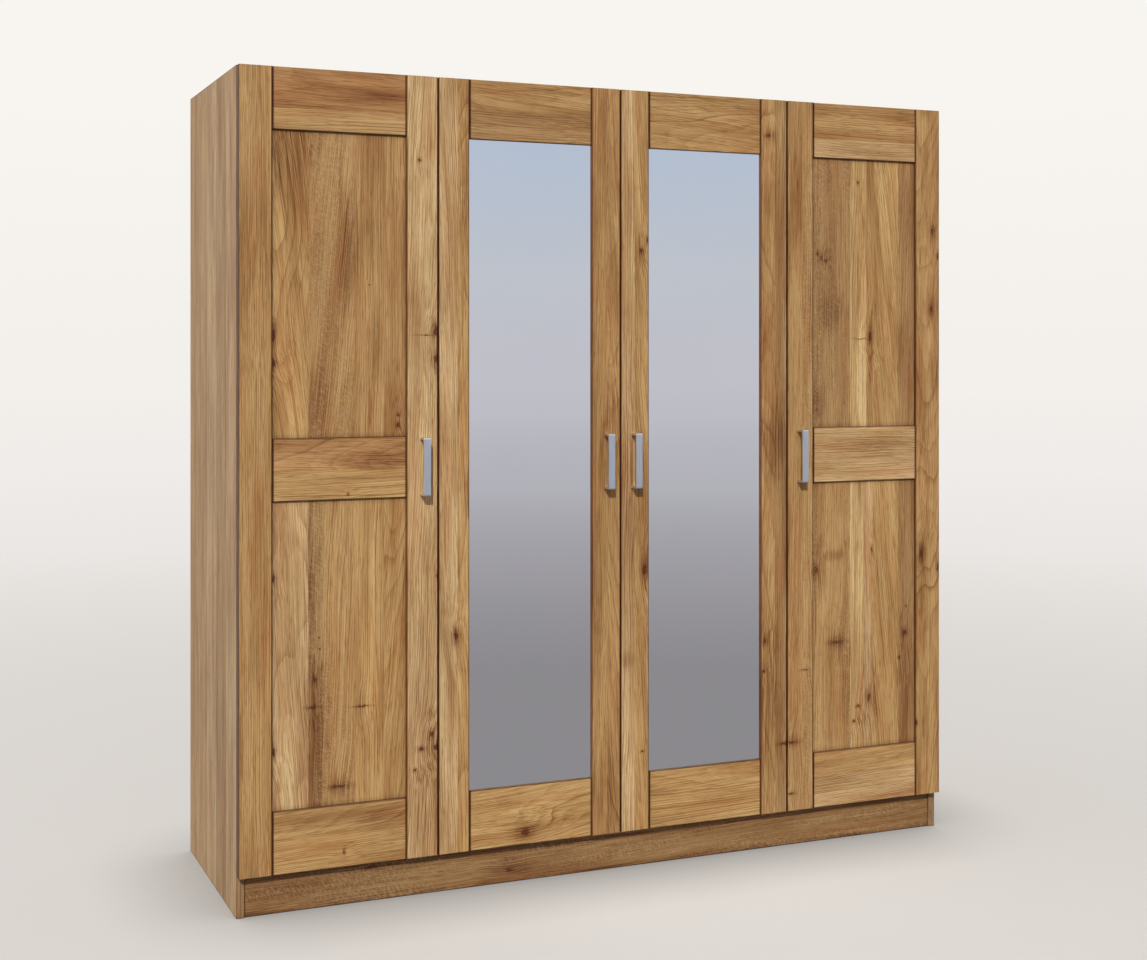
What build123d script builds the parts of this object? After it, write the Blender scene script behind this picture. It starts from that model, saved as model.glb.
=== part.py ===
"""Four-door wardrobe in knotty oak.

Two framed panel doors stand outside and two framed mirror doors in the middle.
X runs to the right, the doors face -Y and Z is up. The origin is on the floor, under the middle of the whole.
"""

import os

from build123d import *

# Overall size, in millimetres
WIDTH = 2000.0
HEIGHT = 2037.0
CARCASS_DEPTH = 589.0

# Carcass boards
SIDE_T = 20.0
DIVIDER_T = 20.0
TOP_T = 20.0
BOTTOM_T = 20.0
SHELF_T = 18.0
BACK_T = 6.0
BACK_REBATE_W = 10.0
BACK_REBATE_D = 10.0
HOUSING_D = 6.0
HOUSING_STOP = 14.0
BOARD_ARRIS = 1.0
FIT_GAP = 1.0

# Plinth
PLINTH_T = 20.0
PLINTH_SETBACK = 3.0
PLINTH_LAP = 4.0

# Doors
DOOR_BOTTOM = 101.0
DOOR_T = 23.0
DOOR_BACK_GAP = 2.0
DOOR_GAP = 4.0
SIDE_REVEAL = 1.0
TOP_REVEAL = 1.0
STILE_W = 80.0
RAIL_H = 150.0
DOOR_ARRIS = 1.5
JOINT_REVEAL_W = 2.0
JOINT_REVEAL_D = 3.0

# Field panels of the outer doors
PANEL_T = 10.0
PANEL_RECESS = 7.0
GROOVE_D = 12.0
PANEL_PLAY = 1.5
TENON_END_GAP = 0.5

# Mirrors of the inner doors
MIRROR_T = 4.0
MIRROR_RECESS = 6.0
MIRROR_REBATE = 10.0
MIRROR_PLAY = 1.5
BACKING_T = 4.0
BEAD_W = 8.0
BEAD_GAP = 0.3
TENON_T = 9.0
TENON_L = 32.0
TENON_SHOULDER = 14.0

# Bow handles, bent from flat strip
HANDLE_L = 143.0
HANDLE_W = 18.0
HANDLE_T = 5.5
HANDLE_REACH = 32.0
HANDLE_INSET = 37.0
HANDLE_BEND = 3.0

# Concealed hinges, in a plan of their own: P runs from the door's hinge edge into the door,
# F runs forward from the door's back face
HINGES_PER_DOOR = 3
HINGE_END = 100.0
CUP_D = 35.0
CUP_P = 20.5
CUP_DEPTH = 12.5
CUP_FLOOR = 1.5
CUP_PLAY = 0.1
CUP_MOUTH_L = 28.6
CUP_MOUTH_W = 16.0
LINK_PIVOT_P = 40.0
LINK_PIVOT_F = -4.95
LINK_TIP_P = 10.95
LINK_TIP_F = 3.2
LINK_T = 4.8
LINK_HEEL = 2.6
LINK_EASE = 1.2
LINK_W = 8.0
LINK_SIDE_GAP = 0.5
PIN_D = 3.0
PIN_PLAY = 0.05
ARM_W = 15.0
ARM_T = 9.0
ARM_NOSE_T = 5.6
ARM_NOSE_F = -2.2
ARM_REAR_F = -72.0
ARM_CRANK_REAR_F = -30.0
ARM_CRANK_FRONT_F = -18.0
FORK_ROOT_F = -13.0
PLATE_T = 3.0
PLATE_W = 34.0
PLATE_REAR_F = -80.0
PLATE_FRONT_F = -24.0

# Inside
SHELF_COUNT = 4
SHELF_SETBACK = 20.0
HAT_SHELF_DROP = 300.0
RAIL_D = 25.0
RAIL_WALL = 1.5
RAIL_DROP = 65.0
SOCKET_W = 34.0
SOCKET_L = 12.0
SOCKET_RISE = 20.0
SOCKET_PLAY = 0.1
RAIL_END_GAP = 2.0

# Levels and planes that follow from them
depth = HANDLE_REACH + DOOR_T + DOOR_BACK_GAP + CARCASS_DEPTH
rear_y = depth / 2
front_y = rear_y - CARCASS_DEPTH
door_back_y = front_y - DOOR_BACK_GAP
door_front_y = door_back_y - DOOR_T
back_y = rear_y - BACK_REBATE_D
side_x = WIDTH / 2
inner_x = side_x - SIDE_T

door_top = HEIGHT - TOP_REVEAL
door_h = door_top - DOOR_BOTTOM
door_w = (WIDTH - 2 * SIDE_REVEAL - 3 * DOOR_GAP) / 4
door_mid = (DOOR_BOTTOM + door_top) / 2
divider_x = DOOR_GAP + door_w

bottom_z = DOOR_BOTTOM + PLINTH_LAP
floor_z = bottom_z + BOTTOM_T
ceiling_z = HEIGHT - TOP_T
hat_shelf_z = ceiling_z - HAT_SHELF_DROP
rail_z = hat_shelf_z - RAIL_DROP
rail_y = (front_y + back_y) / 2
socket_top = rail_z + SOCKET_RISE
shelf_pitch = (ceiling_z - floor_z + SHELF_T) / (SHELF_COUNT + 1)
shelf_levels = [floor_z - SHELF_T + shelf_pitch * (i + 1) for i in range(SHELF_COUNT)]
hinge_pitch = (door_h - 2 * HINGE_END) / (HINGES_PER_DOOR - 1)
hinge_levels = [DOOR_BOTTOM + HINGE_END + hinge_pitch * i for i in range(HINGES_PER_DOOR)]

os.makedirs("parts", exist_ok=True)


def keep(builder, name):
    """Label a finished piece and write it."""
    builder.part.label = name
    export_step(builder.part, f"parts/{name}.step")


def block(xs, ys, zs, mode=Mode.ADD):
    """A square-edged block between pairs of limits, given in any order."""
    spans = [(min(s), max(s)) for s in (xs, ys, zs)]
    middle = [(lo + hi) / 2 for lo, hi in spans]
    with Locations(tuple(middle)):
        Box(*[hi - lo for lo, hi in spans], mode=mode)


def carcass_board(name, xs, ys, zs, tongues=(), grooves=(), arris_axis=None):
    """A carcass board with eased edges along one axis, its housed tongues and the grooves cut in it."""
    with BuildPart() as board:
        block(xs, ys, zs)
        if arris_axis:
            chamfer(board.edges().filter_by(arris_axis), BOARD_ARRIS)
        for limits in tongues:
            block(*limits)
        for limits in grooves:
            block(*limits, mode=Mode.SUBTRACT)
    keep(board, name)


# Sides: bottom and top are let into stopped housings, the backs into a rebate along the rear edge
housed_y = (front_y + HOUSING_STOP, back_y)
shelf_y = (front_y + SHELF_SETBACK, back_y)
hat_shelf_span = (hat_shelf_z, hat_shelf_z + SHELF_T)
shelf_spans = [(z, z + SHELF_T) for z in shelf_levels]
for name, s, spans in (("left_side", -1, shelf_spans), ("right_side", 1, [hat_shelf_span])):
    groove_x = (s * inner_x, s * (inner_x + HOUSING_D))
    rebate_x = (s * inner_x, s * (inner_x + BACK_REBATE_W))
    carcass_board(
        name,
        (s * inner_x, s * side_x),
        (front_y, rear_y),
        (0, HEIGHT),
        grooves=[
            (groove_x, housed_y, (bottom_z, floor_z)),
            (groove_x, housed_y, (ceiling_z, HEIGHT)),
            (rebate_x, (back_y, rear_y), (bottom_z, HEIGHT)),
        ]
        + [(groove_x, shelf_y, span) for span in spans],
        arris_axis=Axis.Z,
    )

# Bottom and top, each with a tongue at both ends and a groove under each divider
divider_faces = [(s * divider_x - DIVIDER_T / 2, s * divider_x + DIVIDER_T / 2) for s in (-1, 1)]
for name, zs, groove_z in (
    ("bottom_panel", (bottom_z, floor_z), (floor_z - HOUSING_D, floor_z)),
    ("top_panel", (ceiling_z, HEIGHT), (ceiling_z, ceiling_z + HOUSING_D)),
):
    carcass_board(
        name,
        (-inner_x, inner_x),
        (front_y, back_y),
        zs,
        tongues=[((s * inner_x, s * (inner_x + HOUSING_D)), housed_y, zs) for s in (-1, 1)],
        grooves=[(faces, housed_y, groove_z) for faces in divider_faces],
        arris_axis=Axis.X,
    )

# Dividers between the hanging spaces
for name, s in (("left_divider", -1), ("right_divider", 1)):
    left_x, right_x = divider_faces[0] if s < 0 else divider_faces[1]
    hat_x = (right_x - HOUSING_D, right_x) if s < 0 else (left_x, left_x + HOUSING_D)
    grooves = [(hat_x, shelf_y, hat_shelf_span)]
    if s < 0:
        grooves += [((left_x, left_x + HOUSING_D), shelf_y, span) for span in shelf_spans]
    else:
        grooves += [((right_x - HOUSING_D, right_x), shelf_y, hat_shelf_span)]
    carcass_board(
        name,
        (left_x, right_x),
        (front_y, back_y),
        (floor_z, ceiling_z),
        tongues=[
            ((left_x, right_x), housed_y, (floor_z - HOUSING_D, floor_z)),
            ((left_x, right_x), housed_y, (ceiling_z, ceiling_z + HOUSING_D)),
        ],
        grooves=grooves,
        arris_axis=Axis.Z,
    )

# Shelves, let into the grooves at both ends
bays = {
    "left": (-inner_x, divider_faces[0][0]),
    "middle": (divider_faces[0][1], divider_faces[1][0]),
    "right": (divider_faces[1][1], inner_x),
}


def shelf_limits(bay, span):
    """Where a shelf lies in a bay, with its ends in the housings."""
    left_x, right_x = bays[bay]
    return (left_x - HOUSING_D, right_x + HOUSING_D), shelf_y, span


with BuildPart() as shelves:
    for span in shelf_spans:
        block(*shelf_limits("left", span))
keep(shelves, "shelves")

for bay in ("middle", "right"):
    with BuildPart() as hat_shelf:
        block(*shelf_limits(bay, hat_shelf_span))
    keep(hat_shelf, f"{bay}_hat_shelf")

# Back panels, one behind each bay, meeting behind the dividers
rebate_end = inner_x + BACK_REBATE_W - FIT_GAP
back_limits = {
    "left_back": (-rebate_end, -divider_x - FIT_GAP / 2),
    "middle_back": (-divider_x + FIT_GAP / 2, divider_x - FIT_GAP / 2),
    "right_back": (divider_x + FIT_GAP / 2, rebate_end),
}
for name, xs in back_limits.items():
    with BuildPart() as back:
        block(xs, (back_y, back_y + BACK_T), (bottom_z, HEIGHT - FIT_GAP))
    keep(back, name)

# Plinth: a front board, a rear board and a bearer under each divider
plinth_front_y = front_y + PLINTH_SETBACK
plinth_inner = (plinth_front_y + PLINTH_T, back_y - PLINTH_T)
carcass_board(
    "plinth_front",
    (-inner_x, inner_x),
    (plinth_front_y, plinth_inner[0]),
    (0, bottom_z),
    arris_axis=Axis.X,
)
carcass_board("plinth_rear", (-inner_x, inner_x), (plinth_inner[1], back_y), (0, bottom_z))
with BuildPart() as plinth_bearers:
    for faces in divider_faces:
        block(faces, plinth_inner, (0, bottom_z))
keep(plinth_bearers, "plinth_bearers")

# Clothes rails and their end sockets
with BuildPart() as clothes_rails:
    for bay in ("middle", "right"):
        left_x, right_x = bays[bay]
        length = right_x - left_x - 2 * RAIL_END_GAP
        with Locations(Location(((left_x + right_x) / 2, rail_y, rail_z), (0, 90, 0))):
            Cylinder(RAIL_D / 2, length)
            Cylinder(RAIL_D / 2 - RAIL_WALL, length, mode=Mode.SUBTRACT)
keep(clothes_rails, "clothes_rails")

seat_r = RAIL_D / 2 + SOCKET_PLAY
with BuildPart() as rail_sockets:
    for bay in ("middle", "right"):
        for x, inward in zip(bays[bay], (1, -1)):
            socket_x = (x, x + inward * SOCKET_L)
            seat_x = (x + inward * RAIL_END_GAP, x + inward * SOCKET_L)
            block(socket_x, (rail_y - SOCKET_W / 2, rail_y + SOCKET_W / 2), (rail_z - SOCKET_W / 2, socket_top))
            with Locations(Location((sum(seat_x) / 2, rail_y, rail_z), (0, 90, 0))):
                Cylinder(seat_r, SOCKET_L - RAIL_END_GAP, mode=Mode.SUBTRACT)
            block(seat_x, (rail_y - seat_r, rail_y + seat_r), (rail_z, socket_top), mode=Mode.SUBTRACT)
keep(rail_sockets, "rail_sockets")

# Doors. Each has its hinge edge, the way that P runs along X, and the inner face of the board it hangs on
half_gap = DOOR_GAP / 2
hinge_edges = {
    "left_door": (-side_x + SIDE_REVEAL, 1, SIDE_T - SIDE_REVEAL),
    "left_mirror_door": (-half_gap - door_w, 1, DIVIDER_T / 2 - half_gap),
    "right_mirror_door": (half_gap + door_w, -1, DIVIDER_T / 2 - half_gap),
    "right_door": (side_x - SIDE_REVEAL, -1, SIDE_T - SIDE_REVEAL),
}


def plan_point(door, p, f):
    """X and Y of a point in the hinge plan of a closed door."""
    edge_x, way, _ = hinge_edges[door]
    return edge_x + way * p, door_back_y - f


def plan_x(door, *ps):
    """X limits between two distances from a door's hinge edge."""
    return [plan_point(door, p, 0)[0] for p in ps]


def door_y(*recesses):
    """Y limits between two depths behind the doors' front face."""
    return [door_front_y + recess for recess in recesses]


door_faces = door_y(0, DOOR_T)
groove_y = door_y(PANEL_RECESS, PANEL_RECESS + PANEL_T)
rebate_y = door_y(MIRROR_RECESS, DOOR_T)
tenon_y = door_y((DOOR_T - TENON_T) / 2, (DOOR_T + TENON_T) / 2)
rail_p = (STILE_W, door_w - STILE_W)
bottom_rail_z = (DOOR_BOTTOM, DOOR_BOTTOM + RAIL_H)
middle_rail_z = (door_mid - RAIL_H / 2, door_mid + RAIL_H / 2)
top_rail_z = (door_top - RAIL_H, door_top)
stile_spans = {"hinge": (0, STILE_W), "free": (door_w - STILE_W, door_w)}


def inner_edge(kind, reach):
    """Limits of a strip of a stile beside its inner edge, measured from the hinge edge."""
    if kind == "hinge":
        return STILE_W - reach, STILE_W
    return door_w - STILE_W, door_w - STILE_W + reach


def cup_bores(door):
    """The blind bores for the hinge cups, in a hinge stile's back face."""
    x, y = plan_point(door, CUP_P, CUP_DEPTH / 2)
    for z in hinge_levels:
        with Locations(Location((x, y, z), (90, 0, 0))):
            Cylinder(CUP_D / 2 + CUP_PLAY, CUP_DEPTH, mode=Mode.SUBTRACT)


def stile(door, kind, cuts):
    """An upright of a door frame, with eased edges, its cuts and, on the hinge side, the cup bores."""
    with BuildPart() as upright:
        block(plan_x(door, *stile_spans[kind]), door_faces, (DOOR_BOTTOM, door_top))
        chamfer(upright.edges().filter_by(Axis.Z), DOOR_ARRIS)
        for limits in cuts:
            block(*limits, mode=Mode.SUBTRACT)
        if kind == "hinge":
            cup_bores(door)
    keep(upright, f"{door}_{kind}_stile")


def rail(door, name, zs, tenon, cuts):
    """A cross rail: eased edges, a shadow line at both shoulders, tenons and its cuts."""
    tenon_length, tenon_ys, tenon_zs = tenon
    ends = ((rail_p[0], -1), (rail_p[1], 1))
    with BuildPart() as cross:
        block(plan_x(door, *rail_p), door_faces, zs)
        chamfer(cross.edges().filter_by(Axis.X), DOOR_ARRIS)
        for p, outward in ends:
            shoulder = plan_x(door, p, p - outward * JOINT_REVEAL_W)
            block(shoulder, door_y(0, JOINT_REVEAL_D), zs, mode=Mode.SUBTRACT)
            block(plan_x(door, p, p + outward * tenon_length), tenon_ys, tenon_zs)
        for limits in cuts:
            block(*limits, mode=Mode.SUBTRACT)
    keep(cross, f"{door}_{name}_rail")


def panel_door(door):
    """A frame with three rails and two field panels that sit loose in its grooves."""
    for kind in ("hinge", "free"):
        groove_x = plan_x(door, *inner_edge(kind, GROOVE_D))
        stile(door, kind, [(groove_x, groove_y, (DOOR_BOTTOM, door_top))])
    rail_x = plan_x(door, *rail_p)
    grooves = {
        "bottom": [(bottom_rail_z[1] - GROOVE_D, bottom_rail_z[1])],
        "middle": [
            (middle_rail_z[0], middle_rail_z[0] + GROOVE_D),
            (middle_rail_z[1] - GROOVE_D, middle_rail_z[1]),
        ],
        "top": [(top_rail_z[0], top_rail_z[0] + GROOVE_D)],
    }
    for name, zs in (("bottom", bottom_rail_z), ("middle", middle_rail_z), ("top", top_rail_z)):
        low = zs[0] if name == "bottom" else zs[0] + GROOVE_D
        high = zs[1] if name == "top" else zs[1] - GROOVE_D
        tenon = (GROOVE_D - TENON_END_GAP, groove_y, (low, high))
        rail(door, name, zs, tenon, [(rail_x, groove_y, span) for span in grooves[name]])
    reach = GROOVE_D - PANEL_PLAY
    panel_x = plan_x(door, STILE_W - reach, door_w - STILE_W + reach)
    for name, below, above in (
        ("lower", bottom_rail_z, middle_rail_z),
        ("upper", middle_rail_z, top_rail_z),
    ):
        with BuildPart() as field:
            block(panel_x, groove_y, (below[1] - reach, above[0] + reach))
        keep(field, f"{door}_{name}_panel")


def mirror_door(door):
    """A frame with two rails, a mirror in a rebate from behind, its backing and four beads."""
    opening_z = (bottom_rail_z[1] - MIRROR_REBATE, top_rail_z[0] + MIRROR_REBATE)
    opening_p = (STILE_W - MIRROR_REBATE, door_w - STILE_W + MIRROR_REBATE)
    tenon_zs = {
        "bottom": (bottom_rail_z[0] + TENON_SHOULDER, opening_z[0] - TENON_SHOULDER),
        "top": (opening_z[1] + TENON_SHOULDER, top_rail_z[1] - TENON_SHOULDER),
    }
    for kind in ("hinge", "free"):
        cuts = [(plan_x(door, *inner_edge(kind, MIRROR_REBATE)), rebate_y, opening_z)]
        mortise_x = plan_x(door, *inner_edge(kind, TENON_L))
        cuts += [(mortise_x, tenon_y, span) for span in tenon_zs.values()]
        stile(door, kind, cuts)
    rail_x = plan_x(door, *rail_p)
    rebates = {
        "bottom": (opening_z[0], bottom_rail_z[1]),
        "top": (top_rail_z[0], opening_z[1]),
    }
    for name, zs in (("bottom", bottom_rail_z), ("top", top_rail_z)):
        tenon = (TENON_L - TENON_END_GAP, tenon_y, tenon_zs[name])
        rail(door, name, zs, tenon, [(rail_x, rebate_y, rebates[name])])

    sheet_x = plan_x(door, opening_p[0] + MIRROR_PLAY, opening_p[1] - MIRROR_PLAY)
    sheet_z = (opening_z[0] + MIRROR_PLAY, opening_z[1] - MIRROR_PLAY)
    backing_recess = MIRROR_RECESS + MIRROR_T
    bead_recess = backing_recess + BACKING_T
    with BuildPart() as mirror_sheet:
        block(sheet_x, door_y(MIRROR_RECESS, backing_recess), sheet_z)
    keep(mirror_sheet, f"{door}_mirror")
    with BuildPart() as backing:
        block(sheet_x, door_y(backing_recess, bead_recess), sheet_z)
    keep(backing, f"{door}_backing")

    bead_y = door_y(bead_recess, DOOR_T)
    with BuildPart() as beads:
        for p, inward in ((opening_p[0], 1), (opening_p[1], -1)):
            block(plan_x(door, p, p + inward * BEAD_W), bead_y, opening_z)
        between = plan_x(door, opening_p[0] + BEAD_W + BEAD_GAP, opening_p[1] - BEAD_W - BEAD_GAP)
        block(between, bead_y, (opening_z[0], opening_z[0] + BEAD_W))
        block(between, bead_y, (opening_z[1] - BEAD_W, opening_z[1]))
    keep(beads, f"{door}_beads")


def bow_handle(door):
    """A flat strip bent to a bow, standing upright on the free stile at mid height."""
    handle_x = plan_point(door, door_w - HANDLE_INSET, 0)[0]
    with BuildPart() as bow:
        with BuildSketch(Plane.YZ.offset(handle_x)):
            with Locations((door_front_y - HANDLE_REACH / 2, door_mid)):
                Rectangle(HANDLE_REACH, HANDLE_L)
            with Locations((door_front_y - (HANDLE_REACH - HANDLE_T) / 2, door_mid)):
                Rectangle(HANDLE_REACH - HANDLE_T, HANDLE_L - 2 * HANDLE_T, mode=Mode.SUBTRACT)
        extrude(amount=HANDLE_W / 2, both=True)
        cross_edges = bow.edges().filter_by(Axis.X)
        front_edges = cross_edges.group_by(Axis.Y)[0]
        inner_edges = cross_edges.group_by(Axis.Y)[1]
        fillet(front_edges, HANDLE_BEND)
        fillet(inner_edges, HANDLE_BEND)
    keep(bow, f"{door}_handle")


def hinge_cups(door):
    """The cups pressed into the hinge stile, each with a square mouth for the link."""
    x, y = plan_point(door, CUP_P, CUP_DEPTH / 2)
    mouth_y = plan_point(door, 0, (CUP_DEPTH - CUP_FLOOR) / 2)[1]
    with BuildPart() as cups:
        for z in hinge_levels:
            with Locations(Location((x, y, z), (90, 0, 0))):
                Cylinder(CUP_D / 2, CUP_DEPTH)
            with Locations((x, mouth_y, z)):
                Box(CUP_MOUTH_L, CUP_DEPTH - CUP_FLOOR, CUP_MOUTH_W, mode=Mode.SUBTRACT)
    keep(cups, f"{door}_hinge_cups")


def hinge_links(door):
    """The swinging links: each turns on its arm's pin and reaches into a cup."""
    pivot = Vector(*plan_point(door, LINK_PIVOT_P, LINK_PIVOT_F))
    tip = Vector(*plan_point(door, LINK_TIP_P, LINK_TIP_F))
    along = (tip - pivot).normalized()
    across = along.rotate(Axis.Z, 90) * LINK_T / 2
    heel = pivot - along * LINK_HEEL
    corners = [heel + across, tip + across, tip - across, heel - across]
    with BuildPart() as links:
        for z in hinge_levels:
            with BuildSketch(Plane.XY.offset(z - LINK_W / 2)) as outline:
                with BuildLine():
                    Polyline(corners, close=True)
                make_face()
                chamfer(outline.vertices(), LINK_EASE)
                with Locations((pivot.X, pivot.Y)):
                    Circle(PIN_D / 2 + PIN_PLAY, mode=Mode.SUBTRACT)
            extrude(amount=LINK_W)
    keep(links, f"{door}_hinge_links")


def hinge_arm(door, z):
    """One arm: a crank from its plate to a fork that holds the link's pin."""
    base_p = hinge_edges[door][2] + PLATE_T
    nose_p = (LINK_PIVOT_P - ARM_NOSE_T / 2, LINK_PIVOT_P + ARM_NOSE_T / 2)
    outline = [
        (base_p, ARM_REAR_F),
        (base_p + ARM_T, ARM_REAR_F),
        (base_p + ARM_T, ARM_CRANK_REAR_F),
        (nose_p[1], ARM_CRANK_FRONT_F),
        (nose_p[1], LINK_PIVOT_F),
        (LINK_PIVOT_P, ARM_NOSE_F),
        (nose_p[0], LINK_PIVOT_F),
        (nose_p[0], ARM_CRANK_FRONT_F + ARM_T / 2),
        (base_p, ARM_CRANK_REAR_F + ARM_T / 2),
    ]
    pivot = plan_point(door, LINK_PIVOT_P, LINK_PIVOT_F)
    with BuildSketch(Plane.XY.offset(z - ARM_W / 2)) as profile:
        with BuildLine():
            Polyline([plan_point(door, p, f) for p, f in outline], close=True)
        make_face()
    extrude(profile.sketch, amount=ARM_W)
    fork_x = plan_x(door, LINK_PIVOT_P - ARM_NOSE_T, LINK_PIVOT_P + ARM_NOSE_T)
    fork_y = [door_back_y - FORK_ROOT_F, door_back_y]
    gap = LINK_W / 2 + LINK_SIDE_GAP
    block(fork_x, fork_y, (z - gap, z + gap), mode=Mode.SUBTRACT)
    with Locations((*pivot, z)):
        Cylinder(PIN_D / 2, ARM_W)


with BuildPart() as hinge_arms:
    for door in hinge_edges:
        for z in hinge_levels:
            hinge_arm(door, z)
keep(hinge_arms, "hinge_arms")

with BuildPart() as hinge_plates:
    for door, (_, _, board_p) in hinge_edges.items():
        plate_y = [door_back_y - PLATE_REAR_F, door_back_y - PLATE_FRONT_F]
        for z in hinge_levels:
            block(plan_x(door, board_p, board_p + PLATE_T), plate_y, (z - PLATE_W / 2, z + PLATE_W / 2))
keep(hinge_plates, "hinge_plates")

for door in ("left_door", "right_door"):
    panel_door(door)
for door in ("left_mirror_door", "right_mirror_door"):
    mirror_door(door)
for door in hinge_edges:
    bow_handle(door)
    hinge_cups(door)
    hinge_links(door)
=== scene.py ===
"""Looks of a four-door wardrobe in knotty oak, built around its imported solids.

Lengths in the frame are metres. Sizes of patterns and small fittings are written in millimetres.
"""

import random
from math import cos, pi, radians, sin, tan

import bmesh
import bpy
from mathutils import Matrix, Vector


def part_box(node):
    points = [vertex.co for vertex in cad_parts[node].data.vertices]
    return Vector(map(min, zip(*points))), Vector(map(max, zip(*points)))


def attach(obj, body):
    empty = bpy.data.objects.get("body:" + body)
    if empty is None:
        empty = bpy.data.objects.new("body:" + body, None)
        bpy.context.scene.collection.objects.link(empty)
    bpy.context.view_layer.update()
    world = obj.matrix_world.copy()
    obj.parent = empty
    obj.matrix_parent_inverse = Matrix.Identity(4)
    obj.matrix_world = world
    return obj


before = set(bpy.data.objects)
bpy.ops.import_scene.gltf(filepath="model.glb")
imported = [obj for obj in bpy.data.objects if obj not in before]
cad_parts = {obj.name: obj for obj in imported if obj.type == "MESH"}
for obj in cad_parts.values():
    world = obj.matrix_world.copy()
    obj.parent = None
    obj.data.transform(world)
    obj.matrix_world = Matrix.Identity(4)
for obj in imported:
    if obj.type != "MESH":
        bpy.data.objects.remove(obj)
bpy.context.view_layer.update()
MM = 0.001

# Oak tones of the single strips that the boards are glued up from, as oiled
OAK_TONES = {
    "pale": "D9C08E",
    "cream": "D2B78B",
    "honey": "C6A672",
    "oak": "BD9C6B",
    "brown": "AF8F63",
    "russet": "BB9466",
    "umber": "9C7D55",
}

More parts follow.
